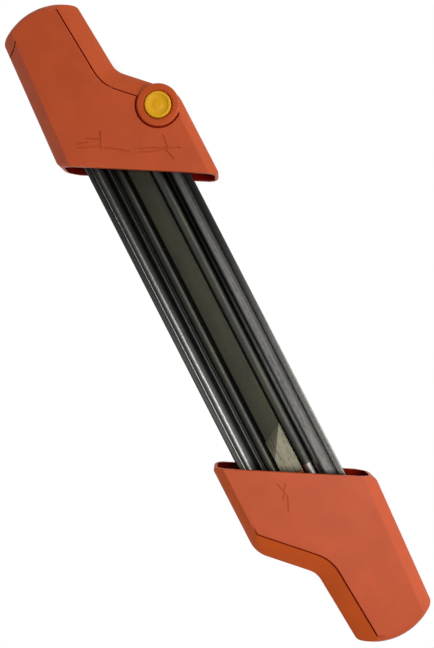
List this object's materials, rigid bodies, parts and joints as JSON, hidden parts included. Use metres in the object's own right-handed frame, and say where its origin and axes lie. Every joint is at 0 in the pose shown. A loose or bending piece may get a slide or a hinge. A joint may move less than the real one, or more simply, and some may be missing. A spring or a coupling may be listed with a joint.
{
  "type": "chainsaw sharpener",
  "caption": "Two-handed saw chain filing guide: flat file and round files between steel guide rails, with slanted handles and a button that frees one handle.",
  "frame": {"origin": "under the middle of the shaft, on the plane that the handles' backs rest on", "axes": "+X along the shaft towards the handle with the lock button, +Z out of the front"},
  "size_m": [0.3548, 0.0696, 0.0266],
  "materials": {
    "handle_orange": "moulded satin plastic",
    "button_yellow": "moulded plastic",
    "carrier_black": "moulded nylon",
    "rail_steel": "drawn bright steel with wear marks",
    "file_steel": "cut teeth, dark hardened steel",
    "bright_steel": "zinc plated"
  },
  "bodies": {
    "frame": {"lower_handle_front_shell": "handle_orange", "lower_handle_back_shell": "handle_orange", "lower_carrier": "carrier_black", "upper_carrier": "carrier_black", "guide_rail_left": "rail_steel", "guide_rail_right": "rail_steel", "flat_file": "file_steel", "lower_handle_screw_1": "bright_steel", "lower_handle_screw_2": "bright_steel", "lower_handle_screw_3": "bright_steel", "rail_rivet_upper_left": "bright_steel", "rail_rivet_upper_right": "bright_steel", "rail_rivet_lower_left": "bright_steel", "rail_rivet_lower_right": "bright_steel"},
    "upper_handle": {"upper_handle_front_shell": "handle_orange", "upper_handle_back_shell": "handle_orange", "lock_button_spring": "bright_steel", "upper_handle_screw_1": "bright_steel", "upper_handle_screw_2": "bright_steel", "upper_handle_screw_3": "bright_steel"},
    "lock_button": {"lock_button": "button_yellow"},
    "round_file_left": {"round_file_left": "file_steel"},
    "round_file_right": {"round_file_right": "file_steel"}
  },
  "joints": [
    {"name": "upper_handle_slide", "type": "slide", "parent": "frame", "child": "upper_handle", "axis": [1, 0, 0], "range_m": [0, 0.12]},
    {"name": "lock_button_press", "type": "slide", "parent": "upper_handle", "child": "lock_button", "axis": [0, 0, -1], "range_m": [0, 0.003], "stiffness_N_per_m": 300, "springref_m": -0.001, "deforming": ["lock_button_spring"]},
    {"name": "round_file_left_turn", "type": "hinge", "parent": "frame", "child": "round_file_left", "pos_m": [0, 0.0091, 0.0108], "axis": [1, 0, 0], "continuous": true},
    {"name": "round_file_right_turn", "type": "hinge", "parent": "frame", "child": "round_file_right", "pos_m": [0, -0.0077, 0.0152], "axis": [1, 0, 0], "continuous": true}
  ]
}
